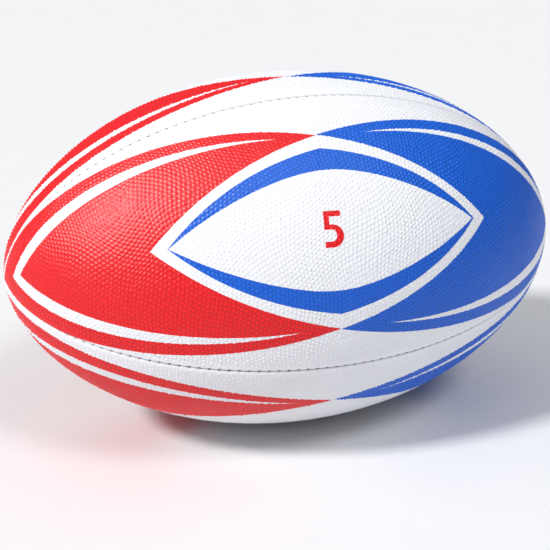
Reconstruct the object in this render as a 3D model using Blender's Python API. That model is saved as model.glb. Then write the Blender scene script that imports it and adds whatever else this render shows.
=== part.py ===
"""Rugby ball, size 5: four stitched panels over laminated fabric, a bladder and a valve.

Metres, +Z up. The origin is the centre of the ball and +X runs along its length. Depths are measured inwards from the
outer skin, along its normal.
"""

import math

import bmesh
import bpy
from mathutils import Vector

MM = 0.001

# The outer skin: a solid of revolution about X, from a blunt oval profile
HALF_LENGTH = 149.0 * MM
HALF_WIDTH = 92.5 * MM
PROFILE_POWER = 1.11
PANEL_TILT = math.radians(25.56)  # how far the front panel's middle is turned up from -Y towards +Z
PANEL_NAMES = ("front", "top", "back", "bottom")
HALF_PANEL = math.radians(45.0)

# Layers of the wall. Neighbours keep a gap of 0.3 mm
GAP = 0.3 * MM
COVER_THICKNESS = 1.2 * MM
PLY_THICKNESS = 0.4 * MM
PATCH_THICKNESS = 0.3 * MM
BLADDER_THICKNESS = 0.6 * MM
BLADDER_PATCH_THICKNESS = 0.8 * MM
POLYESTER_DEPTH = COVER_THICKNESS + GAP
COTTON_DEPTH = POLYESTER_DEPTH + PLY_THICKNESS + GAP
LINING_PATCH_DEPTH = COTTON_DEPTH + PLY_THICKNESS + GAP
BLADDER_DEPTH = LINING_PATCH_DEPTH + PATCH_THICKNESS + GAP
BLADDER_PATCH_DEPTH = BLADDER_DEPTH + BLADDER_THICKNESS + GAP

# Seams. Edges are distances from the seam's plane: the covers nearly meet at the skin, and under it their turned-in
# lips leave a channel that holds the thread
SKIN_EDGE = GAP / 2.0
EDGE_DIP = 0.5 * MM
LEDGE_DEPTH = 1.1 * MM
THREAD_RADIUS = 0.4 * MM
THREAD_SIDES = 6
CHANNEL_EDGE = THREAD_RADIUS + GAP
LIP_EDGE = CHANNEL_EDGE + COVER_THICKNESS
LIP_SHARE = 0.6  # least share of the channel's angle that a lip leaves free, near the panels' points
LIP_DEPTH = COTTON_DEPTH + PLY_THICKNESS
THREAD_DEPTH = (LEDGE_DEPTH + LIP_DEPTH) / 2.0
PLY_EDGE = LIP_EDGE + GAP
TIP_RADIUS = 1.6 * MM  # where the panels' points end, short of the ball's axis
PLY_TIP_RADIUS = 6.0 * MM

# Grid that all layers share, so that their facets stay parallel
COLUMNS = 8
MIDDLE_ROWS = 16

# Valve, on the back panel at mid-length. Its axis is +Y
VALVE_HOLE_RADIUS = 4.5 * MM
NECK_RADIUS = VALVE_HOLE_RADIUS - GAP
VALVE_RECESS = 1.3 * MM
FLANGE_RADIUS = 9.0 * MM
FLANGE_DEPTH = 6.8 * MM
FLANGE_THICKNESS = 1.2 * MM
VALVE_LENGTH = 15.0 * MM
BORE_RADIUS = 2.9 * MM
OUTLET_RADIUS = 0.8 * MM
OUTLET_LENGTH = 1.6 * MM
BEVEL = 0.4 * MM
CORE_RECESS = 0.3 * MM
CORE_HEAD_RADIUS = BORE_RADIUS - GAP
CORE_HEAD_LENGTH = 1.6 * MM
CORE_NECK_RADIUS = 1.9 * MM
CORE_BULB_RADIUS = 2.4 * MM
CORE_BULB_LENGTH = 3.2 * MM
NEEDLE_RADIUS = 0.5 * MM
NEEDLE_MOUTH_RADIUS = 1.1 * MM
LINING_PATCH_RADIUS = 19.0 * MM
BLADDER_PATCH_RADIUS = 21.0 * MM
ROUND_SIDES = 24
CUTTER_LENGTH = 60.0 * MM

# name: (red, green, blue, alpha), roughness
FINISHES = {
    "cover_rubber": ((0.90, 0.90, 0.93, 1.0), 0.55),
    "polyester_fabric": ((0.82, 0.84, 0.86, 1.0), 0.85),
    "cotton_fabric": ((0.80, 0.74, 0.62, 1.0), 0.95),
    "waxed_thread": ((0.12, 0.12, 0.13, 1.0), 0.70),
    "bladder_latex": ((0.72, 0.55, 0.36, 1.0), 0.40),
    "patch_rubber": ((0.10, 0.10, 0.11, 1.0), 0.60),
    "valve_rubber": ((0.05, 0.05, 0.06, 1.0), 0.50),
    "core_rubber": ((0.30, 0.31, 0.33, 1.0), 0.45),
}


def clear_scene():
    for old in list(bpy.data.objects):
        bpy.data.objects.remove(old, do_unlink=True)


def profile(t, depth):
    """Point of the ball's outline at angle t from the -X end: (x, radius), moved inwards by depth."""
    x = -HALF_LENGTH * math.cos(t)
    radius = HALF_WIDTH * math.sin(t) ** PROFILE_POWER
    along_x = HALF_LENGTH * math.sin(t)
    along_r = HALF_WIDTH * PROFILE_POWER * math.sin(t) ** (PROFILE_POWER - 1.0) * math.cos(t)
    length = math.hypot(along_x, along_r)
    return x + depth * along_r / length, radius - depth * along_x / length


def profile_angle(radius):
    """Angle t at which the outer skin has this radius, near the -X end."""
    return math.asin((radius / HALF_WIDTH) ** (1.0 / PROFILE_POWER))


def skin_point(t, angle, depth):
    """Point at angle t along the ball and at this angle round it, turned from -Y towards +Z."""
    x, radius = profile(t, depth)
    return Vector((x, -radius * math.cos(angle), radius * math.sin(angle)))


def stations(first_radius):
    """Angles t of the cross-sections: a short row at each tip, and even rows between."""
    tip = profile_angle(TIP_RADIUS)
    start = profile_angle(PLY_TIP_RADIUS)
    rows = [start + (math.pi - 2.0 * start) * i / MIDDLE_ROWS for i in range(MIDDLE_ROWS + 1)]
    if first_radius < PLY_TIP_RADIUS:
        rows = [tip] + rows + [math.pi - tip]
    return rows


def panel_angle(index):
    return PANEL_TILT + 2.0 * HALF_PANEL * index


def half_angle(t, edge):
    """Half the angle between two lines that run along a panel at this distance from its seams' planes."""
    radius = profile(t, 0.0)[1]
    return HALF_PANEL - math.asin(min(edge / radius, math.sin(HALF_PANEL)))


def spread(half):
    """Evenly spaced angles of a panel's columns, from one side to the other."""
    return [half * (2.0 * i / COLUMNS - 1.0) for i in range(COLUMNS + 1)]


def finish_object(name, mesh, finish):
    color, roughness = FINISHES[finish]
    material = bpy.data.materials.new(name + "_material")
    material.use_nodes = True
    shader = material.node_tree.nodes["Principled BSDF"]
    shader.inputs["Base Color"].default_value = color
    shader.inputs["Roughness"].default_value = roughness
    shader.inputs["Metallic"].default_value = 0.0
    material.diffuse_color = color
    mesh.materials.append(material)
    mesh.shade_smooth()
    mesh.set_sharp_from_angle(angle=math.radians(35.0))
    piece = bpy.data.objects.new(name, mesh)
    bpy.context.scene.collection.objects.link(piece)
    return piece


def loft(name, sections, closed_ends=None):
    """Mesh through closed sections of equal length. closed_ends lists the faces that cap a section."""
    bm = bmesh.new()
    rings = [[bm.verts.new(point) for point in section] for section in sections]
    count = len(rings[0])
    pairs = list(zip(rings, rings[1:]))
    if closed_ends is None:
        pairs.append((rings[-1], rings[0]))
    for near, far in pairs:
        for i in range(count):
            j = (i + 1) % count
            bm.faces.new((near[i], near[j], far[j], far[i]))
    for face in closed_ends or []:
        bm.faces.new([rings[0][i] for i in reversed(face)])
        bm.faces.new([rings[-1][i] for i in face])
    if bm.calc_volume(signed=True) < 0.0:
        bmesh.ops.reverse_faces(bm, faces=bm.faces)
    mesh = bpy.data.meshes.new(name)
    bm.to_mesh(mesh)
    bm.free()
    return mesh


def cover_section(t, middle):
    """Cross-section of a panel cover: the outer face with dipped edges, and the inner face with a turned-in lip."""
    skin = half_angle(t, SKIN_EDGE)
    channel = half_angle(t, CHANNEL_EDGE)
    lip = max(half_angle(t, LIP_EDGE), LIP_SHARE * channel)
    right = [(skin, LEDGE_DEPTH), (channel, LEDGE_DEPTH), (channel, LIP_DEPTH), (lip, LIP_DEPTH)]
    outside = [(-skin, EDGE_DIP)] + [(angle, 0.0) for angle in spread(lip)] + [(skin, EDGE_DIP)]
    inside = [(angle, COVER_THICKNESS) for angle in reversed(spread(lip))]
    left = [(-angle, depth) for angle, depth in reversed(right)]
    return [skin_point(t, middle + angle, depth) for angle, depth in outside + right + inside + left]


def cover_caps():
    """Faces that close a cover's tip, as indices into its cross-section: both lips, and the strip between them."""
    inner = 2 * COLUMNS + 8
    left = (0, 1) + tuple(range(inner - 1, inner + 4))
    right = tuple(range(COLUMNS + 1, COLUMNS + 8))
    between = [(i, i + 1, inner - i - 1, inner - i) for i in range(1, COLUMNS + 1)]
    return [left, right] + between


def make_cover(index):
    name = "panel_cover_" + PANEL_NAMES[index]
    middle = panel_angle(index)
    sections = [cover_section(t, middle) for t in stations(TIP_RADIUS)]
    return finish_object(name, loft(name, sections, cover_caps()), "cover_rubber")


def ply_section(t, middle, top, bottom):
    angles = spread(half_angle(t, PLY_EDGE))
    section = [skin_point(t, middle + angle, top) for angle in angles]
    return section + [skin_point(t, middle + angle, bottom) for angle in reversed(angles)]


def sheet_caps(columns):
    return [(i, i + 1, 2 * columns - i, 2 * columns + 1 - i) for i in range(columns)]


def make_ply(prefix, index, depth, finish):
    name = prefix + PANEL_NAMES[index]
    middle = panel_angle(index)
    sections = [ply_section(t, middle, depth, depth + PLY_THICKNESS) for t in stations(PLY_TIP_RADIUS)]
    return finish_object(name, loft(name, sections, sheet_caps(COLUMNS)), finish)


def make_thread(index):
    """The thread of the seam between a panel and the next one, lying between their turned-in edges."""
    name = "seam_thread_" + PANEL_NAMES[index] + "_" + PANEL_NAMES[(index + 1) % 4]
    seam = panel_angle(index) + HALF_PANEL
    across = Vector((0.0, math.sin(seam), math.cos(seam)))
    sections = []
    for t in stations(TIP_RADIUS):
        centre = skin_point(t, seam, THREAD_DEPTH)
        inward = (skin_point(t, seam, THREAD_DEPTH + MM) - centre).normalized()
        section = []
        for i in range(THREAD_SIDES):
            turn = 2.0 * math.pi * i / THREAD_SIDES
            section.append(centre + THREAD_RADIUS * (math.cos(turn) * inward + math.sin(turn) * across))
        sections.append(section)
    return finish_object(name, loft(name, sections, [tuple(range(THREAD_SIDES))]), "waxed_thread")


def grid_angles():
    """Angles round the ball of the shared columns, all four panels."""
    step = 2.0 * HALF_PANEL / COLUMNS
    return [PANEL_TILT - HALF_PANEL + step * i for i in range(4 * COLUMNS)]


def closed_skin(bm, depth, inside_out):
    """Adds the whole skin at this depth to bm, closed at both poles."""
    rings = [[bm.verts.new(skin_point(t, a, depth)) for a in grid_angles()] for t in stations(TIP_RADIUS)]
    count = len(rings[0])
    poles = [bm.verts.new((x, 0.0, 0.0)) for x in (depth - HALF_LENGTH, HALF_LENGTH - depth)]
    faces = []
    for i in range(count):
        j = (i + 1) % count
        for near, far in zip(rings, rings[1:]):
            faces.append(bm.faces.new((near[i], far[i], far[j], near[j])))
        faces.append(bm.faces.new((poles[0], rings[0][i], rings[0][j])))
        faces.append(bm.faces.new((poles[1], rings[-1][j], rings[-1][i])))
    if inside_out:
        bmesh.ops.reverse_faces(bm, faces=faces)


def valve_cylinder(name, radius, far_y, near_y):
    """Closed cylinder on the valve's axis, between two values of y."""
    sections = []
    for y in (near_y, far_y):
        turns = [2.0 * math.pi * i / ROUND_SIDES for i in range(ROUND_SIDES)]
        sections.append([Vector((radius * math.cos(a), y, radius * math.sin(a))) for a in turns])
    return loft(name, sections, [tuple(range(ROUND_SIDES))])


def cutter(name, mesh):
    guide = bpy.data.objects.new(name, mesh)
    bpy.context.scene.collection.objects.link(guide)
    guide.hide_render = True
    guide.display_type = "WIRE"
    return guide


def cut(piece, guide, operation="DIFFERENCE"):
    modifier = piece.modifiers.new(operation.lower(), "BOOLEAN")
    modifier.operation = operation
    modifier.object = guide
    modifier.solver = "EXACT"


def make_bladder(hole):
    bm = bmesh.new()
    closed_skin(bm, BLADDER_DEPTH, False)
    closed_skin(bm, BLADDER_DEPTH + BLADDER_THICKNESS, True)
    mesh = bpy.data.meshes.new("bladder")
    bm.to_mesh(mesh)
    bm.free()
    piece = finish_object("bladder", mesh, "bladder_latex")
    cut(piece, hole)


def make_patch(name, depth, thickness, radius, finish, hole):
    """Round patch that follows the wall: a block of the shared grid, trimmed to a disc."""
    step = 2.0 * HALF_PANEL / COLUMNS
    first = panel_angle(2) - HALF_PANEL
    columns = [first + step * i for i in range(4)]
    middle_row = (MIDDLE_ROWS + 2) // 2
    rows = stations(TIP_RADIUS)[middle_row - 1 : middle_row + 2]
    sections = []
    for t in rows:
        section = [skin_point(t, a, depth) for a in columns]
        sections.append(section + [skin_point(t, a, depth + thickness) for a in reversed(columns)])
    piece = finish_object(name, loft(name, sections, sheet_caps(len(columns) - 1)), finish)
    disc = valve_cylinder(name + "_trim", radius, HALF_WIDTH + CUTTER_LENGTH / 2.0, HALF_WIDTH - CUTTER_LENGTH / 2.0)
    cut(piece, cutter(name + "_trim", disc), "INTERSECT")
    cut(piece, hole)


def turned(name, outline, base):
    """Mesh turned about the valve's axis from a closed outline of (radius, depth below the base)."""
    sections = []
    for i in range(ROUND_SIDES):
        a = 2.0 * math.pi * i / ROUND_SIDES
        sections.append([Vector((r * math.cos(a), base - d, r * math.sin(a))) for r, d in outline])
    return loft(name, sections)


def make_valve_body():
    flange_top = FLANGE_DEPTH - VALVE_RECESS
    flange_bottom = flange_top + FLANGE_THICKNESS
    outline = [
        (BORE_RADIUS, 0.0),
        (NECK_RADIUS - BEVEL, 0.0),
        (NECK_RADIUS, BEVEL),
        (NECK_RADIUS, flange_top),
        (FLANGE_RADIUS - BEVEL, flange_top),
        (FLANGE_RADIUS, flange_top + BEVEL),
        (FLANGE_RADIUS, flange_bottom - BEVEL),
        (FLANGE_RADIUS - BEVEL, flange_bottom),
        (NECK_RADIUS, flange_bottom + BEVEL),
        (NECK_RADIUS - BEVEL, VALVE_LENGTH - BEVEL),
        (NECK_RADIUS - 2.0 * BEVEL, VALVE_LENGTH),
        (OUTLET_RADIUS, VALVE_LENGTH),
        (OUTLET_RADIUS, VALVE_LENGTH - OUTLET_LENGTH),
        (BORE_RADIUS, VALVE_LENGTH - OUTLET_LENGTH),
    ]
    mesh = turned("valve_body", outline, HALF_WIDTH - VALVE_RECESS)
    return finish_object("valve_body", mesh, "valve_rubber")


def make_valve_core():
    """The plug, with its origin on the valve's axis, at its own outer face."""
    length = VALVE_LENGTH - OUTLET_LENGTH - CORE_RECESS - GAP
    bulb_top = length - CORE_BULB_LENGTH
    outline = [
        (NEEDLE_MOUTH_RADIUS, 0.0),
        (CORE_HEAD_RADIUS - BEVEL, 0.0),
        (CORE_HEAD_RADIUS, BEVEL),
        (CORE_HEAD_RADIUS, CORE_HEAD_LENGTH),
        (CORE_NECK_RADIUS, CORE_HEAD_LENGTH + BEVEL),
        (CORE_NECK_RADIUS, bulb_top - BEVEL),
        (CORE_BULB_RADIUS, bulb_top),
        (CORE_BULB_RADIUS, length - 2.0 * BEVEL),
        (CORE_NECK_RADIUS, length),
        (NEEDLE_RADIUS, length),
        (NEEDLE_RADIUS, BEVEL),
    ]
    piece = finish_object("valve_core", turned("valve_core", outline, 0.0), "core_rubber")
    piece.location = (0.0, HALF_WIDTH - VALVE_RECESS - CORE_RECESS, 0.0)


def build():
    clear_scene()
    hole_mesh = valve_cylinder(
        "valve_hole", VALVE_HOLE_RADIUS, HALF_WIDTH + CUTTER_LENGTH / 2.0, HALF_WIDTH - CUTTER_LENGTH / 2.0
    )
    hole = cutter("valve_hole", hole_mesh)
    back = PANEL_NAMES.index("back")
    for index in range(4):
        pieces = [
            make_cover(index),
            make_ply("polyester_ply_", index, POLYESTER_DEPTH, "polyester_fabric"),
            make_ply("cotton_ply_", index, COTTON_DEPTH, "cotton_fabric"),
        ]
        if index == back:
            for piece in pieces:
                cut(piece, hole)
        make_thread(index)
    make_bladder(hole)
    make_patch("valve_lining_patch", LINING_PATCH_DEPTH, PATCH_THICKNESS, LINING_PATCH_RADIUS, "cotton_fabric", hole)
    make_patch(
        "bladder_valve_patch",
        BLADDER_PATCH_DEPTH,
        BLADDER_PATCH_THICKNESS,
        BLADDER_PATCH_RADIUS,
        "patch_rubber",
        hole,
    )
    make_valve_body()
    make_valve_core()
    bpy.context.view_layer.update()


build()
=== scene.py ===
"""Looks of the rugby ball: pimpled and printed panels, stitched seams, fabric plies, bladder and valve.

Metres, +Z up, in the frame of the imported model: the ball's centre is the origin and +X runs along its length.
A panel is drawn flat, as (along, across): the arc length along its middle line from mid-length, and the arc
length across it.
"""

import math

import bmesh
import bpy
import numpy as np
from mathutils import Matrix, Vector


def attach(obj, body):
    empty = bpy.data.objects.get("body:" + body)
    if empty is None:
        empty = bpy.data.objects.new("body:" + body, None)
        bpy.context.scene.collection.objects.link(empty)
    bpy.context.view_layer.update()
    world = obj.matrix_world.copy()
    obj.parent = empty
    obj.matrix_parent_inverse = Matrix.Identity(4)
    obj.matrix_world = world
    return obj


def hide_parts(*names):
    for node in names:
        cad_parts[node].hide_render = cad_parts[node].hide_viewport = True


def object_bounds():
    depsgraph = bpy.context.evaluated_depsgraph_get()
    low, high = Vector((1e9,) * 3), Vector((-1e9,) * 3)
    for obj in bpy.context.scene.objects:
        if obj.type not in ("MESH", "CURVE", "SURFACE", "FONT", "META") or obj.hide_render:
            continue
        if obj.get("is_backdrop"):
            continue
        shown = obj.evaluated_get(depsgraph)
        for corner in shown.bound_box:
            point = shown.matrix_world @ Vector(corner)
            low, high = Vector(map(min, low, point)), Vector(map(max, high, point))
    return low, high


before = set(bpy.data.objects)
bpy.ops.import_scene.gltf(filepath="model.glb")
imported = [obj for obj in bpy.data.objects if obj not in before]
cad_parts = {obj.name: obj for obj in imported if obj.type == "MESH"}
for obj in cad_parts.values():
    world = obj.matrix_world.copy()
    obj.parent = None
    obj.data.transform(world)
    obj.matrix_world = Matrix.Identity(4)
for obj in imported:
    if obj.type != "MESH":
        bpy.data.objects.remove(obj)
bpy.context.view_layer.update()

MM = 0.001

# ---------------------------------------------------------------- the ball's shape, as in the CAD model
HALF_LENGTH = 149.0 * MM
HALF_WIDTH = 92.5 * MM
PROFILE_POWER = 1.11
PANEL_TILT = math.radians(25.56)
HALF_PANEL = math.radians(45.0)
PANEL_NAMES = ("front", "top", "back", "bottom")
COVER_THICKNESS = 1.2 * MM
PLY_THICKNESS = 0.4 * MM
POLYESTER_DEPTH = 1.5 * MM
COTTON_DEPTH = 2.2 * MM
LIP_DEPTH = 2.6 * MM
LINING_PATCH_DEPTH = 2.9 * MM
LINING_PATCH_THICKNESS = 0.3 * MM
BLADDER_DEPTH = 3.5 * MM
BLADDER_THICKNESS = 0.6 * MM
BLADDER_PATCH_DEPTH = 4.4 * MM
BLADDER_PATCH_THICKNESS = 0.8 * MM
VALVE_HOLE_RADIUS = 4.5 * MM
VALVE_RECESS = 1.3 * MM

# ---------------------------------------------------------------- grip
PITCH = 2.2 * MM  # between neighbouring pimples
STEP = PITCH / 3.0
ROW = STEP * math.sqrt(3.0) / 2.0
PIMPLE_HEIGHT = 0.5 * MM
VALLEY = -0.40 * MM  # the skin between the pimples, over the CAD's surface
PLAIN = -0.17 * MM  # the plain strip beside a seam
SHOULDER = 0.26  # height of the ring round a pimple's top, as a share of its height
JITTER = 0.20 * MM
GROWTH = 0.22  # how much a pimple's height varies, as a share of it
DICE_SHAPE = (257, 263, 3)  # random numbers by column and row of the lattice: two shifts and a growth
LATTICE_MARGIN = 2.0 * MM  # from the seam to the first column of pimples
WARP = 1.6 * MM  # how far the rows of pimples bend
WARP_WAVE = 46.0 * MM
WARP_MARGIN = 1.6  # mm from the seam to where the bends start
WARP_FADE = 8.0  # mm more until they are full
GRIP_MARGIN = 1.2  # mm from the seam to where the pimples start to rise
GRIP_FADE = 2.4  # mm more until they are full
COLLAR_RADIUS = 5.4  # mm from the valve's axis to where the pimples start to rise
COLLAR_FADE = 2.0  # mm more until they are full
TIP = 0.6 * MM  # from the pole to where a panel's point ends, along the surface
POINT_WIDTH = 4.0 * MM  # where a panel's half is narrower than this, its edge columns are squeezed

# ---------------------------------------------------------------- seams
STITCH = 4.65 * MM
STITCH_SPREAD = 0.55 * MM
STITCH_OPENING = 0.30 * MM
SEAM_EDGE = 0.10 * MM
CHANNEL_EDGE = 0.7 * MM
LIP_EDGE = 1.9 * MM
PLY_EDGE = 2.2 * MM
LEDGE_DEPTH = 1.1 * MM
THREAD_DEPTH = 1.85 * MM
THREAD_RADIUS = 0.38 * MM


def profile(t, height=0.0):
    """x and radius of the ball's outline at angle t from the -X end, raised by height along the normal."""
    s = np.maximum(np.sin(t), 1e-9)
    along_x = HALF_LENGTH * s
    along_r = HALF_WIDTH * PROFILE_POWER * s ** (PROFILE_POWER - 1.0) * np.cos(t)
    length = np.hypot(along_x, along_r)
    x = -HALF_LENGTH * np.cos(t) - height * along_r / length
    radius = HALF_WIDTH * s**PROFILE_POWER + height * along_x / length
    return x, radius


def arc_table():
    """Angles t, and the arc length of the outline from mid-length to each."""
    t = np.linspace(0.0, math.pi, 20001)
    x, radius = profile(t)
    arc = np.concatenate([[0.0], np.cumsum(np.hypot(np.diff(x), np.diff(radius)))])
    return t, arc - arc[-1] / 2.0


ARC_T, ARC = arc_table()
HALF_MERIDIAN = ARC[-1]


def half_width_at(along):
    """Arc length from a panel's middle line to its seam."""
    return profile(np.interp(along, ARC, ARC_T))[1] * HALF_PANEL


def wrap(flat, middle):
    """Points on the ball for flat (along, across, height). middle is the panel's angle round the ball."""
    t = np.interp(flat[:, 0], ARC, ARC_T)
    angle = middle + flat[:, 1] / profile(t)[1]
    x, radius = profile(t, flat[:, 2])
    return np.stack([x, -radius * np.cos(angle), radius * np.sin(angle)], axis=-1)


def panel_angle(index):
    """The angle round the ball of a panel's middle line."""
    return PANEL_TILT + 2.0 * HALF_PANEL * index


VALVE_PANEL = PANEL_NAMES.index("back")
VALVE_PLACE = (0.0, HALF_WIDTH * (math.pi - panel_angle(VALVE_PANEL)))  # on the flat panel


def smooth(value):
    """0 to 1 with soft ends, for a value from 0 to 1."""
    value = np.clip(value, 0.0, 1.0)
    return value * value * (3.0 - 2.0 * value)


# ---------------------------------------------------------------- materials
def rgb(red, green, blue):
    """Linear colour from 0-255 screen values."""

    def linear(value):
        share = value / 255.0
        return share / 12.92 if value <= 10 else ((share + 0.055) / 1.055) ** 2.4

    return linear(red), linear(green), linear(blue), 1.0


class Finish:
    """One material's node tree, with short names for what the looks below need."""

    def __init__(self, name, roughness, specular=0.5, sheen=0.0):
        self.material = bpy.data.materials.new(name)
        self.material.use_nodes = True
        self.tree = self.material.node_tree
        self.shader = self.tree.nodes["Principled BSDF"]
        self.shader.inputs["Roughness"].default_value = roughness
        self.shader.inputs["Specular IOR Level"].default_value = specular
        self.shader.inputs["Sheen Weight"].default_value = sheen

    def put(self, value, socket):
        if isinstance(value, bpy.types.NodeSocket):
            self.tree.links.new(value, socket)
        else:
            socket.default_value = value

    def math(self, operation, *values, clamp=False):
        node = self.tree.nodes.new("ShaderNodeMath")
        node.operation = operation
        node.use_clamp = clamp
        for value, socket in zip(values, node.inputs):
            self.put(value, socket)
        return node.outputs[0]

    def attribute(self, name):
        """The three numbers of a vector attribute."""
        node = self.tree.nodes.new("ShaderNodeAttribute")
        node.attribute_name = name
        split = self.tree.nodes.new("ShaderNodeSeparateXYZ")
        self.tree.links.new(node.outputs["Vector"], split.inputs[0])
        return split.outputs[0], split.outputs[1], split.outputs[2]

    def place(self):
        return self.tree.nodes.new("ShaderNodeTexCoord").outputs["Object"]

    def noise(self, size, detail=2.0, vector=None):
        """Noise from 0 to 1 with features of about this size in metres."""
        node = self.tree.nodes.new("ShaderNodeTexNoise")
        node.inputs["Scale"].default_value = 1.0 / size
        node.inputs["Detail"].default_value = detail
        self.put(self.place() if vector is None else vector, node.inputs["Vector"])
        return node.outputs["Fac"]

    def mix(self, factor, first, second):
        node = self.tree.nodes.new("ShaderNodeMix")
        node.data_type = "RGBA"
        self.put(factor, node.inputs[0])
        self.put(first, node.inputs[6])
        self.put(second, node.inputs[7])
        return node.outputs[2]

    def spread(self, value, low, high):
        """value, from 0 to 1, spread over low to high."""
        return self.math("MULTIPLY_ADD", value, high - low, low)

    def shade(self, colour, amount):
        """colour times a number."""
        node = self.tree.nodes.new("ShaderNodeVectorMath")
        node.operation = "SCALE"
        self.put(colour, node.inputs[0])
        self.put(amount, node.inputs["Scale"])
        return node.outputs[0]

    def bump(self, height, distance, normal=None):
        """Bump of this height map, whose 0 to 1 stands for distance metres."""
        node = self.tree.nodes.new("ShaderNodeBump")
        node.inputs["Strength"].default_value = 1.0
        node.inputs["Distance"].default_value = distance
        self.put(height, node.inputs["Height"])
        if normal is not None:
            self.tree.links.new(normal, node.inputs["Normal"])
        return node.outputs[0]

    def finish(self, colour=None, roughness=None, normal=None):
        for value, name in ((colour, "Base Color"), (roughness, "Roughness"), (normal, "Normal")):
            if value is not None:
                self.put(value, self.shader.inputs[name])
        return self.material


RED = rgb(250, 8, 22)
BLUE = rgb(0, 103, 228)
WHITE = rgb(240, 241, 246)
RAW_RUBBER = rgb(150, 148, 142)
PRINT_BLUR = 0.14  # mm over which a printed edge fades
VALLEY_SHADE_ON_WHITE = 0.10  # painted shade: how much darker the valleys between pimples are drawn on white
# painted shade: how much darker the valleys between pimples are drawn on ink
VALLEY_SHADE_ON_INK = 0.42
VALLEY_ROUGHNESS = 0.45
PIMPLE_ROUGHNESS = 0.32

# The numeral's strokes, in mm from its middle: boxes as (left, right, low, high), and round-ended bars as
# (centre, width, height).
NUMERAL_BAR = (-4.2, 3.8, 5.7, 8.3)
NUMERAL_STEM = (-4.3, -1.7, -0.3, 8.3)
NUMERAL_BOWL = ((-0.6, -3.2), 5.4, 5.25)
NUMERAL_HOLLOW = ((-0.8, -2.95), 2.3, 2.75)
NUMERAL_HOOK_END = 4.2  # to the left of the middle


def inside(finish, distance):
    """1 where distance, in mm, is inside a printed edge, and 0 outside."""
    return finish.math("MULTIPLY_ADD", distance, 1.0 / PRINT_BLUR, 0.5, clamp=True)


def box_distance(finish, u, v, left, right, low, high):
    """How far (u, v) lies inside a box."""
    wide = finish.math("ABSOLUTE", finish.math("SUBTRACT", u, (left + right) / 2.0))
    tall = finish.math("ABSOLUTE", finish.math("SUBTRACT", v, (low + high) / 2.0))
    wide = finish.math("SUBTRACT", (right - left) / 2.0, wide)
    tall = finish.math("SUBTRACT", (high - low) / 2.0, tall)
    return finish.math("MINIMUM", wide, tall)


def bowl_distance(finish, u, v, centre, width, height):
    """How far (u, v) lies inside a round-ended bar that runs to the left from an ellipse's centre."""
    wide = finish.math("MAXIMUM", finish.math("SUBTRACT", u, centre[0]), 0.0)
    wide = finish.math("DIVIDE", wide, width)
    tall = finish.math("DIVIDE", finish.math("SUBTRACT", v, centre[1]), height)
    wide = finish.math("MULTIPLY", wide, wide)
    tall = finish.math("MULTIPLY", tall, tall)
    share = finish.math("SQRT", finish.math("ADD", wide, tall))
    return finish.math("MULTIPLY", finish.math("SUBTRACT", 1.0, share), height)


def numeral_distance(finish):
    """How far a point lies inside the numeral 5, drawn upright in mm."""
    u, v, _ = finish.attribute("numeral")
    bar = box_distance(finish, u, v, *NUMERAL_BAR)
    stem = box_distance(finish, u, v, *NUMERAL_STEM)
    outer = bowl_distance(finish, u, v, *NUMERAL_BOWL)
    inner = bowl_distance(finish, u, v, *NUMERAL_HOLLOW)
    bowl = finish.math("MINIMUM", outer, finish.math("MULTIPLY", inner, -1.0))
    bowl = finish.math("MINIMUM", bowl, finish.math("ADD", u, NUMERAL_HOOK_END))
    return finish.math("MAXIMUM", finish.math("MAXIMUM", bar, stem), bowl)


def between(finish, value, inner, outer):
    """How far a value lies past the inner edge and short of the outer one."""
    past = finish.math("SUBTRACT", value, inner)
    return finish.math("MINIMUM", finish.math("SUBTRACT", outer, value), past)


def cover_finish():
    """Printed rubber: arcs of ink and the numeral, painted shade in the valleys, and smoother rounded tops."""
    finish = Finish("printed_rubber", 0.3, 0.42)
    side, across, grip = finish.attribute("place")
    band, stripe_out, stripe_in = finish.attribute("bands")
    eye_white, eye_blue, eye_in = finish.attribute("eye")
    ragged = finish.spread(finish.noise(1.1 * MM), -0.03, 0.03)
    away = finish.math("ADD", finish.math("ABSOLUTE", across), ragged)
    in_band = between(finish, away, eye_white, band)
    in_stripe = between(finish, away, stripe_in, stripe_out)
    in_eye = between(finish, away, eye_in, eye_blue)
    beside_stripe = finish.math("SUBTRACT", 1.0, inside(finish, in_stripe))
    band_ink = finish.math("MULTIPLY", inside(finish, in_band), beside_stripe)
    band_colour = finish.mix(finish.math("GREATER_THAN", side, 0.0), RED, BLUE)
    colour = finish.mix(band_ink, WHITE, band_colour)
    eye_ink = inside(finish, in_eye)
    colour = finish.mix(eye_ink, colour, BLUE)
    numeral_ink = inside(finish, numeral_distance(finish))
    colour = finish.mix(numeral_ink, colour, RED)
    ink = finish.math("MAXIMUM", finish.math("MAXIMUM", band_ink, eye_ink), numeral_ink)
    outer = finish.math("MULTIPLY_ADD", grip, 2.0, 2.0, clamp=True)
    colour = finish.mix(outer, RAW_RUBBER, colour)
    top = finish.math("MAXIMUM", grip, 0.0)
    # painted shade: the valleys between pimples are darkened, more on ink than on white
    valley = finish.math("POWER", finish.math("SUBTRACT", 1.0, top), 2.0)
    shadow = finish.math("MULTIPLY", valley, finish.spread(ink, VALLEY_SHADE_ON_WHITE, VALLEY_SHADE_ON_INK))
    tone = finish.math("SUBTRACT", 1.0, shadow)
    tone = finish.math("MULTIPLY", tone, finish.spread(finish.noise(28.0 * MM), 0.98, 1.02))
    colour = finish.shade(colour, tone)
    uneven = finish.spread(finish.noise(9.0 * MM, 4.0), -0.05, 0.05)
    roughness = finish.math("ADD", finish.spread(top, VALLEY_ROUGHNESS, PIMPLE_ROUGHNESS), uneven)
    round_top = finish.math("SINE", finish.math("MULTIPLY", top, math.pi / 2.0))
    normal = finish.bump(round_top, 0.1 * MM, finish.bump(finish.noise(0.32 * MM, 3.0), 0.03 * MM))
    return finish.finish(colour, roughness, normal)


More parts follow.
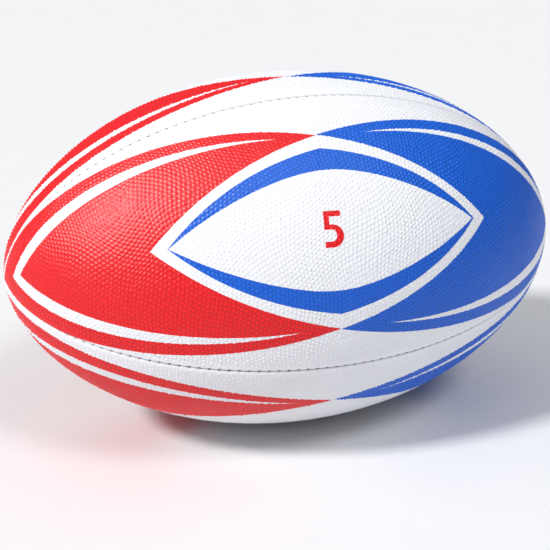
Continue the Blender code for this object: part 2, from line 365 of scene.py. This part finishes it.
def weave_finish(name, yarn, colour, shadow, roughness):
    """Plain weave of the given yarn width, in mm."""
    finish = Finish(name, roughness, 0.25, 0.3)
    along, across, _ = finish.attribute("place")
    warp_wave = finish.math("SINE", finish.math("MULTIPLY", along, math.pi / yarn))
    weft_wave = finish.math("SINE", finish.math("MULTIPLY", across, math.pi / yarn))
    over = finish.math("GREATER_THAN", finish.math("MULTIPLY", warp_wave, weft_wave), 0.0)
    warp_wave = finish.math("ABSOLUTE", warp_wave)
    weft_wave = finish.math("ABSOLUTE", weft_wave)
    warp_lift = finish.math("MULTIPLY", warp_wave, over)
    weft_lift = finish.math("MULTIPLY", weft_wave, finish.math("SUBTRACT", 1.0, over))
    lift = finish.math("ADD", warp_lift, weft_lift)
    fuzz = finish.noise(0.25 * MM, 3.0)
    tone = finish.mix(finish.math("MULTIPLY", lift, finish.spread(fuzz, 0.75, 1.0)), shadow, colour)
    tone = finish.shade(tone, finish.spread(finish.noise(20.0 * MM), 0.93, 1.05))
    normal = finish.bump(finish.math("ADD", lift, finish.math("MULTIPLY", fuzz, 0.3)), 0.1 * MM)
    return finish.finish(tone, None, normal)


def rubber_finish(name, colour, speck, roughness, grain):
    """Moulded rubber: fine grain, a little bloom, and uneven gloss."""
    finish = Finish(name, roughness)
    bloom = finish.math("POWER", finish.noise(3.0 * MM, 5.0), 3.0)
    tone = finish.mix(bloom, colour, speck)
    gloss = finish.spread(finish.noise(1.6 * MM, 3.0), roughness - 0.08, roughness + 0.12)
    normal = finish.bump(finish.noise(grain, 3.0), 0.05 * MM)
    return finish.finish(tone, gloss, normal)


def thread_finish():
    finish = Finish("waxed_thread", 0.42)
    fibre = finish.noise(0.18 * MM, 3.0)
    tone = finish.mix(fibre, rgb(38, 38, 42), rgb(92, 90, 88))
    return finish.finish(tone, finish.spread(fibre, 0.32, 0.6), finish.bump(fibre, 0.06 * MM))


# ---------------------------------------------------------------- meshes
LONG_EDGE = 0.3  # an edge of a cut hole is long past this share of the hole's radius
LONG_EDGE_CUTS = 9


def outward(mesh):
    """Turns a closed mesh's faces to look out."""
    bm = bmesh.new()
    bm.from_mesh(mesh)
    bmesh.ops.recalc_face_normals(bm, faces=bm.faces)
    if bm.calc_volume(signed=True) < 0.0:
        bmesh.ops.reverse_faces(bm, faces=bm.faces)
    bm.to_mesh(mesh)
    bm.free()


def make_piece(name, points, faces, material, node, body="ball", sharp=None, vectors=None):
    """A piece that replaces a CAD node. vectors are its point attributes, by name."""
    mesh = bpy.data.meshes.new(name)
    mesh.from_pydata(points, [], faces)
    outward(mesh)
    for title, values in (vectors or {}).items():
        attribute = mesh.attributes.new(title, "FLOAT_VECTOR", "POINT")
        attribute.data.foreach_set("vector", values.astype(np.float32).ravel())
    mesh.materials.append(material)
    mesh.shade_smooth()
    if sharp is not None:
        mesh.set_sharp_from_angle(angle=math.radians(sharp))
    piece = bpy.data.objects.new(name, mesh)
    bpy.context.scene.collection.objects.link(piece)
    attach(piece, body)
    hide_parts(node)


def turn_angles(count):
    """Angles that divide a full turn into count equal steps."""
    return np.arange(count) * 2.0 * math.pi / count


def ring_faces(near, far, count):
    """Faces between two rings of count points, the first of which are near and far."""
    return [(near + n, far + n, far + (n + 1) % count, near + (n + 1) % count) for n in range(count)]


def reach(points, centre):
    """Distance of points from a hole's centre, in their first two coordinates."""
    return np.hypot(points[:, 0] - centre[0], points[:, 1] - centre[1])


def open_edges(bm):
    return [e for e in bm.edges if e.is_boundary]


def cut_hole(points, faces, centre, radius, rim=((0.0, 0.0),), above=-1.0):
    """A closed sheet, with a round hole through it along its third coordinate.

    rim rounds the upper edge: steps of (added radius, added height), widest first and ending at the hole's
    radius. Only faces higher than above are cut.
    """
    rows = np.array([(points[list(f)].min(axis=0), points[list(f)].max(axis=0)) for f in faces])
    low, high = rows[:, 0], rows[:, 1]
    gap_a = np.maximum(np.maximum(low[:, 0] - centre[0], centre[0] - high[:, 0]), 0.0)
    gap_b = np.maximum(np.maximum(low[:, 1] - centre[1], centre[1] - high[:, 1]), 0.0)
    gone = (np.hypot(gap_a, gap_b) < radius) & (low[:, 2] > above)
    bm = bmesh.new()
    verts = [bm.verts.new(p) for p in points]
    for face, cut in zip(faces, gone):
        if not cut:
            bm.faces.new([verts[n] for n in face])
    rim_edges = open_edges(bm)
    long_edges = [e for e in rim_edges if e.calc_length() > LONG_EDGE * radius]
    bmesh.ops.subdivide_edges(bm, edges=long_edges, cuts=LONG_EDGE_CUTS)
    rim_edges = open_edges(bm)
    rim_verts = {v for e in rim_edges for v in e.verts}
    middle = np.mean([v.co.z for v in rim_verts])
    upper = [e for e in rim_edges if e.verts[0].co.z > middle]
    lower = [e for e in rim_edges if e.verts[0].co.z <= middle]
    set_ring(lower, centre, radius, 0.0)
    set_ring(upper, centre, radius + rim[0][0], rim[0][1])
    for (_, before), (wider, height) in zip(rim, rim[1:]):
        made = bmesh.ops.extrude_edge_only(bm, edges=upper)["geom"]
        upper = [g for g in made if isinstance(g, bmesh.types.BMEdge) and g.is_boundary]
        set_ring(upper, centre, radius + wider, height - before)
    bmesh.ops.bridge_loops(bm, edges=upper + lower)
    bmesh.ops.delete(bm, geom=[v for v in bm.verts if not v.link_faces], context="VERTS")
    bm.verts.index_update()
    points = np.array([v.co for v in bm.verts])
    faces = [tuple(v.index for v in f.verts) for f in bm.faces]
    bm.free()
    return points, faces


def set_ring(edges, centre, radius, lift):
    """Moves the ends of edges onto a circle, and up by lift."""
    for vert in {v for e in edges for v in e.verts}:
        away = Vector((vert.co.x - centre[0], vert.co.y - centre[1]))
        away = away.normalized() * radius
        vert.co = (centre[0] + away.x, centre[1] + away.y, vert.co.z + lift)


# ---------------------------------------------------------------- covers
COLLAR_RIM = (  # the rounded rim of the valve's hole
    (0.45 * MM, -0.03 * MM),
    (0.22 * MM, -0.10 * MM),
    (0.07 * MM, -0.25 * MM),
    (0.0, -0.5 * MM),
)


def stitch_pull(along):
    """1 at the middle of a stitch and 0 between stitches."""
    offset = (along / STITCH - np.floor(along / STITCH) - 0.5) * STITCH
    return np.exp(-((offset / STITCH_SPREAD) ** 2))


def edge_columns(along):
    """(distance from the seam, height) of the skin beside a seam, and of the turned-in edge under it."""
    pull = stitch_pull(along)
    edge = SEAM_EDGE + STITCH_OPENING * pull
    skin = [
        (edge, -0.95 * MM - 0.1 * MM * pull),
        (edge + 0.12 * MM, -0.62 * MM - 0.25 * MM * pull),
        (edge + 0.34 * MM, -0.40 * MM - 0.25 * MM * pull),
        (edge + 0.72 * MM, -0.26 * MM - 0.14 * MM * pull),
        (1.45 * MM, PLAIN),
    ]
    turned_in = [
        (edge, -LEDGE_DEPTH),
        (CHANNEL_EDGE, -LEDGE_DEPTH),
        (CHANNEL_EDGE, -LIP_DEPTH),
        (LIP_EDGE, -LIP_DEPTH),
        (LIP_EDGE, -COVER_THICKNESS),
    ]
    return skin, turned_in


# Columns of the inner face, as shares of its half width. The valve lies between the third and the fourth.
INNER_HALF = (0.885, 0.772, 0.659, 0.508, 0.381, 0.254, 0.127)
INNER_SHARES = INNER_HALF + (0.0,) + tuple(-share for share in reversed(INNER_HALF))


def lattice_row(j, half, dice):
    """Points of row j between the edge columns: (along shift, across, share of a pimple's height)."""
    first = math.ceil((-half + LATTICE_MARGIN) / STEP - 0.5 * j)
    last = math.floor((half - LATTICE_MARGIN) / STEP - 0.5 * j)
    q = np.arange(first, last + 1)
    row = j % 3
    column = q % 3
    centre_q = q - np.select([column == 1, column == 2], [1, -1], 0)
    centre_j = j - (1 if row == 1 else -1 if row == 2 else 0)
    valley = (column == row) & (column != 0)
    share = np.where((column == 0) & (row == 0), 1.0, np.where(valley, 0.0, SHOULDER))
    thrown = dice[centre_q % dice.shape[0], centre_j % dice.shape[1]]
    move = np.where(valley[:, None], 0.0, thrown[:, :2]) * JITTER
    grow = np.where(valley, 1.0, 1.0 + GROWTH * thrown[:, 2])
    return np.stack([move[:, 1], (q + 0.5 * j) * STEP + move[:, 0], share * grow], axis=1)


def join_rows(faces, flat, near, far):
    """Faces between two rows of (start, edge columns, lattice points, inner columns)."""
    a, edge, grid_a, inner = near
    b, _, grid_b, _ = far
    for k in range(edge - 1):
        faces.append((a + k, b + k, b + k + 1, a + k + 1))
    i, end_a = a + edge - 1, a + edge + grid_a
    k, end_b = b + edge - 1, b + edge + grid_b
    while i < end_a or k < end_b:
        if k == end_b or (i < end_a and flat[i + 1][1] <= flat[k + 1][1]):
            faces.append((i, k, i + 1))
            i += 1
        else:
            faces.append((i, k, k + 1))
            k += 1
    ring = edge + inner
    for n in range(ring):
        last = n == ring - 1
        next_a = a if last else end_a + n + 1
        next_b = b if last else end_b + n + 1
        faces.append((end_a + n, end_b + n, next_b, next_a))


def warp(flat):
    """Slow bends of the rows of pimples, fading out towards the edges. Only the skin moves."""
    edge = half_width_at(flat[:, 0]) - np.abs(flat[:, 1])
    weight = smooth((edge / MM - WARP_MARGIN) / WARP_FADE) * WARP * (flat[:, 2] > -COVER_THICKNESS / 2.0)
    wave = 2.0 * math.pi / WARP_WAVE
    moved = flat.copy()
    moved[:, 0] += weight * np.sin(wave * (0.9 * flat[:, 1] + 0.35 * flat[:, 0]) + 0.7)
    moved[:, 1] += weight * np.sin(wave * (1.1 * flat[:, 0] - 0.25 * flat[:, 1]) + 2.1)
    return moved


def flat_cover(seed):
    """A pimpled panel drawn flat: points (along, across, height) and faces."""
    dice = np.random.default_rng(seed).uniform(-1.0, 1.0, DICE_SHAPE)
    last_row = int((HALF_MERIDIAN - TIP) / ROW)
    flat = []
    rows = []
    for j in range(-last_row, last_row + 1):
        along = j * ROW
        half = float(half_width_at(along))
        squeeze = min(1.0, half / POINT_WIDTH)
        skin, turned_in = edge_columns(along)
        start = len(flat)
        flat += [(along, squeeze * e - half, h) for e, h in skin]
        lattice = lattice_row(j, half, dice)
        for shift, across, share in lattice:
            fade = float(smooth(((half - abs(across)) / MM - GRIP_MARGIN) / GRIP_FADE))
            height = PLAIN + (VALLEY - PLAIN + PIMPLE_HEIGHT * share) * fade
            flat.append((along + shift, across, height))
        flat += [(along, half - squeeze * e, h) for e, h in reversed(skin)]
        flat += [(along, half - squeeze * e, h) for e, h in turned_in]
        inner_half = half - LIP_EDGE * squeeze
        flat += [(along, inner_half * share, -COVER_THICKNESS) for share in INNER_SHARES]
        flat += [(along, squeeze * e - half, h) for e, h in reversed(turned_in)]
        rows.append((start, len(skin), len(lattice), 2 * len(turned_in) + len(INNER_SHARES)))
    faces = []
    for near, far in zip(rows, rows[1:]):
        join_rows(faces, flat, near, far)
    faces.append(tuple(range(rows[0][0], rows[1][0])))
    faces.append(tuple(range(rows[-1][0], len(flat))))
    return warp(np.array(flat)), faces


# ---------------------------------------------------------------- print
# Each printed edge is an arc over a panel: (along, across, radius) of its centre in mm, with along from the tip
# of the coloured bands and across from the print's middle line. "bands" has the outer edge of a band, then the
# outer and inner edges of the white stripe in it. "eye" has the outer edge of the white border, then the outer
# and inner edges of the blue border.
RED_ARCS = {
    "bands": ((47.3, -128.6, 182.1), (40.5, -141.6, 189.6), (23.1, -174.2, 221.0)),
    "eye": ((-54.5, -151.5, 205.8), (-27.1, -107.4, 149.4), (-41.5, -179.0, 215.5)),
}
BLUE_ARCS = {
    "bands": ((53.9, -146.7, 201.3), (47.4, -148.4, 196.9), (32.6, -160.8, 208.2)),
    "eye": ((-44.5, -128.7, 181.7), (-24.5, -100.3, 142.1), (-47.1, -185.4, 223.2)),
}
PRINT_PLACE = {  # where the tip of the coloured bands is, and the print's middle line
    "front": (-7.5, -2.9),
    "top": (-5.0, -0.5),
    "back": (-5.0, -1.0),
    "bottom": (-3.5, -2.0),
}
EYE_ROUNDING = 18.0  # the blue border's inner edge has no corner at the tip
EYE_PANELS = ("front", "back")  # the others have no blue border round their white middle
END_START = 115.0  # mm from mid-length to where the bands start to widen, until they fill the panel
END_SPREAD = 0.0012  # how fast they widen
FRONT_SKEW = -0.0107  # the front print's middle line falls by this towards the blue end
NUMERAL_PLACE = (-8.9, -2.6)
NUMERAL_TILT = math.radians(3.0)
NO_NUMERAL = 400.0  # so far along that none of it shows


def arc_edge(arc, away):
    return arc[1] + np.sqrt(np.maximum(arc[2] ** 2 - (away - arc[0]) ** 2, 0.0))


def both_edges(red, blue, side, rounding=0.0):
    """An edge on both sides of the tip. rounding, in mm, is how far from the tip the two arcs blend."""
    away = np.hypot(side, rounding)
    return np.where(side < 0.0, arc_edge(red, away), arc_edge(blue, away))


def print_vectors(flat, panel):
    """The point attributes that the printed rubber's material reads, in mm."""
    along, across = flat[:, 0] / MM, flat[:, 1] / MM
    tip, middle = PRINT_PLACE[panel]
    side = along - tip
    offset = across - middle - (FRONT_SKEW * along if panel == "front" else 0.0)
    grip = (flat[:, 2] - VALLEY) / PIMPLE_HEIGHT
    grip = np.clip(np.where(flat[:, 2] < -0.9 * MM, -1.0, np.maximum(grip, 0.0)), -1.0, 1.0)
    vectors = {"place": np.column_stack([side, offset, grip])}
    for name, inner_rounding in (("bands", 0.0), ("eye", EYE_ROUNDING)):
        arcs = zip(RED_ARCS[name], BLUE_ARCS[name], (0.0, 0.0, inner_rounding))
        edges = [both_edges(red, blue, side, rounding) for red, blue, rounding in arcs]
        vectors[name] = np.column_stack(edges)
    vectors["bands"][:, 0] += END_SPREAD * np.maximum(np.abs(along) - END_START, 0.0) ** 2
    if panel not in EYE_PANELS:
        vectors["eye"][:, 1] = -1.0
    right, up = along - NUMERAL_PLACE[0], across - NUMERAL_PLACE[1]
    turn, lean = math.cos(NUMERAL_TILT), math.sin(NUMERAL_TILT)
    far = 0.0 if panel == "front" else NO_NUMERAL
    numeral = (right * turn - up * lean + far, right * lean + up * turn, np.zeros_like(up))
    vectors["numeral"] = np.column_stack(numeral)
    return vectors


def make_covers(material):
    """The four panels. The back one has the valve's hole, with a smooth collar round it."""
    for index, panel in enumerate(PANEL_NAMES):
        flat, faces = flat_cover(11 + index)
        if panel == "back":
            collar = smooth((reach(flat, VALVE_PLACE) / MM - COLLAR_RADIUS) / COLLAR_FADE)
            skin = flat[:, 2] > -COVER_THICKNESS / 2.0
            flat[skin, 2] = (PLAIN + (flat[:, 2] - PLAIN) * collar)[skin]
            flat, faces = cut_hole(flat, faces, VALVE_PLACE, VALVE_HOLE_RADIUS, COLLAR_RIM)
        make_piece(
            "cover_" + panel,
            wrap(flat, panel_angle(index)),
            faces,
            material,
            "panel_cover_" + panel,
            vectors=print_vectors(flat, panel),
        )


# ---------------------------------------------------------------- plies and patches
PLY_TIP = 6.0 * MM
PLY_STEP = 3.0 * MM
PLY_COLUMNS = 40
PATCH_RINGS = 14
PATCH_TURNS = 288
BLADDER_TIP = 2.0 * MM
BLADDER_ROWS = 180
BLADDER_COLUMNS = 144


def flat_ply(depth):
    """A fabric ply drawn flat. The columns leave no long faces, and the rows are PLY_STEP apart."""
    steps = int(2.0 * (HALF_MERIDIAN - PLY_TIP) / PLY_STEP)
    shares = np.linspace(-1.0, 1.0, PLY_COLUMNS + 1)
    flat = []
    for along in np.linspace(PLY_TIP - HALF_MERIDIAN, HALF_MERIDIAN - PLY_TIP, steps + 1):
        half = float(half_width_at(along)) - PLY_EDGE
        flat += [(along, half * share, -depth) for share in shares]
        flat += [(along, half * share, -depth - PLY_THICKNESS) for share in reversed(shares)]
    ring = 2 * len(shares)
    faces = [tuple(range(ring)), tuple(range(len(flat) - ring, len(flat)))]
    for start in range(0, len(flat) - ring, ring):
        faces += ring_faces(start, start + ring, ring)
    return np.array(flat), faces


def make_plies(prefix, depth, material):
    """The four plies of one fabric."""
    for index, panel in enumerate(PANEL_NAMES):
        flat, faces = flat_ply(depth)
        if panel == "back":
            flat, faces = cut_hole(flat, faces, VALVE_PLACE, VALVE_HOLE_RADIUS)
        make_piece(
            "woven_" + prefix + panel,
            wrap(flat, panel_angle(index)),
            faces,
            material,
            prefix + panel,
            sharp=50.0,
            vectors={"place": flat / MM},
        )


def make_patch(name, depth, thickness, radius, teeth, tooth, thin_edge, material):
    """Round patch inside the back wall. teeth pink its edge, which keeps thin_edge of the thickness."""
    flat = []
    for turn in turn_angles(PATCH_TURNS):
        rim = radius - tooth * abs(math.sin(teeth * turn / 2.0))
        reaches = VALVE_HOLE_RADIUS + (rim - VALVE_HOLE_RADIUS) * np.linspace(0.0, 1.0, PATCH_RINGS + 1)
        thinning = (1.0 - thin_edge) * smooth((reaches - 0.8 * rim) / (0.2 * rim))
        lower = -depth - thickness * (1.0 - thinning)
        places = [(r * math.cos(turn), VALVE_PLACE[1] + r * math.sin(turn)) for r in reaches]
        flat += [(along, across, -depth) for along, across in places]
        flat += [(*place, low) for place, low in zip(reversed(places), reversed(lower))]
    ring = 2 * (PATCH_RINGS + 1)
    faces = []
    for k in range(PATCH_TURNS):
        faces += ring_faces(k * ring, (k + 1) % PATCH_TURNS * ring, ring)
    flat = np.array(flat)
    points = wrap(flat, panel_angle(VALVE_PANEL))
    make_piece("round_" + name, points, faces, material, name, sharp=50.0, vectors={"place": flat / MM})


def make_bladder(material):
    """The bladder's two skins, joined round the valve's hole."""
    columns = BLADDER_COLUMNS
    points = []
    faces = []
    for height in (-BLADDER_DEPTH, -BLADDER_DEPTH - BLADDER_THICKNESS):
        start = len(points)
        for along in np.linspace(BLADDER_TIP - HALF_MERIDIAN, HALF_MERIDIAN - BLADDER_TIP, BLADDER_ROWS):
            x, radius = profile(np.interp(along, ARC, ARC_T), height)
            points += [(x, radius * math.cos(a), radius * math.sin(a)) for a in turn_angles(columns)]
        for row in range(BLADDER_ROWS - 1):
            low = start + row * columns
            faces += ring_faces(low, low + columns, columns)
        faces.append(tuple(range(start, start + columns)))
        faces.append(tuple(range(len(points) - columns, len(points))))
    points = np.array(points)[:, [0, 2, 1]]
    points, faces = cut_hole(points, faces, (0.0, 0.0), VALVE_HOLE_RADIUS, above=0.0)
    make_piece("moulded_bladder", points[:, [0, 2, 1]], faces, material, "bladder", sharp=50.0)


# ---------------------------------------------------------------- seam threads
STRANDS = 3
TWIST = 2.6 * MM
THREAD_STEP = 0.45 * MM
THREAD_TIP = 1.8 * MM
THREAD_RISE = 0.62 * MM  # at the middle of a stitch


def make_threads(material):
    """Twisted cords in the seams' channels, which rise into the gap at every stitch."""
    for index, panel in enumerate(PANEL_NAMES):
        name = "seam_thread_" + panel + "_" + PANEL_NAMES[(index + 1) % 4]
        seam = panel_angle(index) + HALF_PANEL
        count = int(2.0 * (HALF_MERIDIAN - THREAD_TIP) / THREAD_STEP)
        along = np.linspace(THREAD_TIP - HALF_MERIDIAN, HALF_MERIDIAN - THREAD_TIP, count + 1)
        pull = stitch_pull(along) * smooth((HALF_MERIDIAN - np.abs(along)) / MM / 6.0 - 0.3)
        depth = THREAD_DEPTH - THREAD_RISE * pull
        sides = 4 * STRANDS
        flat = []
        for turn in turn_angles(sides):
            lobes = 1.0 - 0.22 * np.abs(np.sin(STRANDS / 2.0 * (turn - 2.0 * math.pi * along / TWIST)))
            radius = THREAD_RADIUS * lobes * (1.0 - 0.3 * pull)
            flat.append(np.column_stack([along, radius * math.sin(turn), radius * math.cos(turn) - depth]))
        flat = np.stack(flat, axis=1).reshape(-1, 3)
        faces = [tuple(range(sides)), tuple(range(len(flat) - sides, len(flat)))]
        for start in range(0, len(flat) - sides, sides):
            faces += ring_faces(start, start + sides, sides)
        make_piece("twisted_" + name, wrap(flat, seam), faces, material, name)


# ---------------------------------------------------------------- valve
FACE_Y = HALF_WIDTH - VALVE_RECESS
CORE_RECESS = 0.3 * MM
VALVE_LENGTH = 15.0
CORE_LENGTH = 12.8
CORNER_STEPS = 5
TURNED_SIDES = 96
NECK_RADIUS = 4.2
SOCKET_RADIUS = 2.9  # where the core sits
FLANGE_UNDER = 6.7  # depth of the flange's lower side


def rounded(outline):
    """The closed outline of (radius, depth, rounding), in mm, with each corner rounded."""
    corners = [Vector(point[:2]) for point in outline]
    result = []
    for n, here in enumerate(corners):
        before, after = corners[n - 1], corners[(n + 1) % len(corners)]
        size = min(outline[n][2], 0.45 * (before - here).length, 0.45 * (after - here).length)
        if size <= 0.0:
            result.append(here)
            continue
        start = here + (before - here).normalized() * size
        end = here + (after - here).normalized() * size
        for k in range(CORNER_STEPS):
            s = k / (CORNER_STEPS - 1.0)
            result.append((1.0 - s) ** 2 * start + 2.0 * s * (1.0 - s) * here + s * s * end)
    return result


def make_turned(name, outline, face_y, body, material):
    """A closed outline of (radius, depth under face_y, rounding), in mm, turned about the valve's axis."""
    section = rounded(outline)
    points = []
    for turn in turn_angles(TURNED_SIDES):
        for radius, depth in section:
            side, up = radius * MM * math.cos(turn), radius * MM * math.sin(turn)
            points.append((side, face_y - depth * MM, up))
    count = len(section)
    faces = []
    for k in range(TURNED_SIDES):
        faces += ring_faces(k * count, (k + 1) % TURNED_SIDES * count, count)
    make_piece("moulded_" + name, points, faces, material, name, body=body, sharp=38.0)


def make_valve(body_material, core_material):
    """The housing, with ribs round its neck and grooves under its flange, and the core with a ringed face."""
    body = [(SOCKET_RADIUS, 0.0, 0.12), (NECK_RADIUS, 0.0, 0.35)]
    for top in (1.6, 2.9, 4.2):
        body += [(NECK_RADIUS, top, 0.1), (NECK_RADIUS + 0.2, top + 0.25, 0.1), (NECK_RADIUS, top + 0.5, 0.1)]
    body += [(NECK_RADIUS, 5.5, 0.3), (9.0, 5.5, 0.3), (9.0, 6.2, 0.3), (8.6, FLANGE_UNDER, 0.2)]
    for outer in (8.0, 6.4):
        body += [(outer, FLANGE_UNDER, 0.12), (outer - 0.4, FLANGE_UNDER + 0.25, 0.12)]
        body += [(outer - 0.8, FLANGE_UNDER, 0.12)]
    body += [(NECK_RADIUS, 6.8, 0.4), (4.1, 10.8, 0.3), (3.4, 14.6, 0.6), (3.3, VALVE_LENGTH, 0.25)]
    body += [(0.8, VALVE_LENGTH, 0.15), (0.8, 13.4, 0.1), (SOCKET_RADIUS, 13.4, 0.3)]
    make_turned("valve_body", body, FACE_Y, "ball", body_material)
    core = [(0.5, 0.55, 0.2), (1.1, 0.0, 0.15), (1.75, 0.0, 0.05), (1.85, 0.14, 0.05)]
    core += [(2.0, 0.14, 0.05), (2.1, 0.0, 0.05), (2.6, 0.0, 0.35), (2.6, 1.6, 0.3), (1.9, 2.0, 0.3)]
    core += [(1.9, CORE_LENGTH - 3.6, 0.3), (2.4, CORE_LENGTH - 3.2, 0.4), (2.4, CORE_LENGTH - 0.8, 0.5)]
    core += [(1.7, CORE_LENGTH, 0.4), (0.5, CORE_LENGTH, 0.1)]
    make_turned("valve_core", core, FACE_Y - CORE_RECESS, "valve_core", core_material)


make_covers(cover_finish())
POLYESTER = weave_finish("polyester_weave", 0.45, rgb(226, 228, 232), rgb(150, 154, 160), 0.6)
make_plies("polyester_ply_", POLYESTER_DEPTH, POLYESTER)
COTTON = weave_finish("cotton_weave", 0.7, rgb(222, 208, 180), rgb(140, 124, 98), 0.85)
make_plies("cotton_ply_", COTTON_DEPTH, COTTON)
make_patch(
    "valve_lining_patch",
    LINING_PATCH_DEPTH,
    LINING_PATCH_THICKNESS,
    radius=19.0 * MM,
    teeth=48,
    tooth=0.9 * MM,
    thin_edge=1.0,
    material=COTTON,
)
make_bladder(rubber_finish("latex", rgb(206, 150, 92), rgb(232, 196, 150), 0.38, 1.2 * MM))
PATCH = rubber_finish("patch_rubber", rgb(60, 58, 58), rgb(130, 126, 120), 0.6, 0.5 * MM)
make_patch(
    "bladder_valve_patch",
    BLADDER_PATCH_DEPTH,
    BLADDER_PATCH_THICKNESS,
    radius=21.0 * MM,
    teeth=2,
    tooth=0.0,
    thin_edge=0.35,
    material=PATCH,
)
make_threads(thread_finish())
make_valve(
    rubber_finish("valve_rubber", rgb(34, 34, 38), rgb(90, 90, 92), 0.5, 0.4 * MM),
    rubber_finish("core_rubber", rgb(120, 122, 128), rgb(170, 170, 172), 0.45, 0.4 * MM),
)

# ---------------------------------------------------------------- camera, floor and lights
AZIMUTH = math.radians(-18.86)
ELEVATION = math.radians(21.05)
CAMERA_DISTANCE = 564.0 * MM
CAMERA_RIGHT = -7.5 * MM
CAMERA_UP = -15.5 * MM
LEVEL_BACK = Vector((math.sin(AZIMUTH), -math.cos(AZIMUTH), 0.0))
RIGHT = Vector((math.cos(AZIMUTH), math.sin(AZIMUTH), 0.0))
BACK = math.cos(ELEVATION) * LEVEL_BACK + math.sin(ELEVATION) * Vector((0.0, 0.0, 1.0))
UP = BACK.cross(RIGHT)

camera = bpy.data.objects.new("camera", bpy.data.cameras.new("camera"))
camera.data.lens = 69.0
camera.data.sensor_width = 36.0
camera.data.clip_start = 0.01
camera.location = CAMERA_DISTANCE * BACK + CAMERA_RIGHT * RIGHT + CAMERA_UP * UP
camera.rotation_euler = (math.pi / 2.0 - ELEVATION, 0.0, AZIMUTH)
bpy.context.scene.collection.objects.link(camera)
bpy.context.scene.camera = camera


def make_light(name, right, up, back, strength, degrees, colour):
    """Soft light from a far panel, which lies that far right, up and back and looks so many degrees wide."""
    lamp = bpy.data.lights.new(name, "SUN")
    lamp.energy = strength
    lamp.angle = math.radians(degrees)
    lamp.color = colour
    light = bpy.data.objects.new(name, lamp)
    toward = right * RIGHT + up * UP + back * BACK
    light.rotation_euler = toward.to_track_quat("Z", "Y").to_euler()
    bpy.context.scene.collection.objects.link(light)
    return light


make_light("key", -0.62, 0.50, 0.62, 2.75, 9.0, (1.0, 0.99, 0.98))
make_light("fill", 0.42, 0.62, 0.68, 0.95, 17.0, (0.95, 0.97, 1.0))
make_light("sky", -0.2, 0.93, 0.36, 0.62, 90.0, (1.0, 1.0, 1.0))
gloss = make_light("gloss", -0.62, 0.50, 0.62, 3.0, 36.0, (1.0, 1.0, 1.0))
gloss.visible_diffuse = False  # it only widens the key's reflection

world = bpy.data.worlds.new("studio")
world.use_nodes = True
backdrop = world.node_tree.nodes["Background"]
backdrop.inputs["Color"].default_value = (0.92, 0.95, 1.0, 1.0)
lit = world.node_tree.nodes.new("ShaderNodeLightPath")
strength = world.node_tree.nodes.new("ShaderNodeMath")
strength.operation = "MULTIPLY_ADD"
strength.inputs[1].default_value = 0.80  # the backdrop looks this much brighter than it lights
strength.inputs[2].default_value = 0.20
world.node_tree.links.new(lit.outputs["Is Camera Ray"], strength.inputs[0])
world.node_tree.links.new(strength.outputs[0], backdrop.inputs["Strength"])
bpy.context.scene.world = world
bpy.context.scene.view_settings.view_transform = "Standard"

floor_finish = Finish("pale_floor", 0.7, 0.2)
floor_tone = floor_finish.mix(floor_finish.noise(60.0 * MM, 3.0), rgb(226, 226, 227), rgb(230, 230, 231))
floor_grain = floor_finish.bump(floor_finish.noise(2.0 * MM), 0.02 * MM)
FLOOR_HALF = 4.0
floor_corners = [(x * FLOOR_HALF, y * FLOOR_HALF, 0.0) for x, y in ((-1, -1), (1, -1), (1, 1), (-1, 1))]
floor_mesh = bpy.data.meshes.new("floor")
floor_mesh.from_pydata(floor_corners, [], [(0, 1, 2, 3)])
floor_mesh.materials.append(floor_finish.finish(floor_tone, None, floor_grain))
floor = bpy.data.objects.new("floor", floor_mesh)
bpy.context.scene.collection.objects.link(floor)
floor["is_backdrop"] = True

visual_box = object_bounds()
floor.location.z = visual_box[0][2] - 0.1 * MM
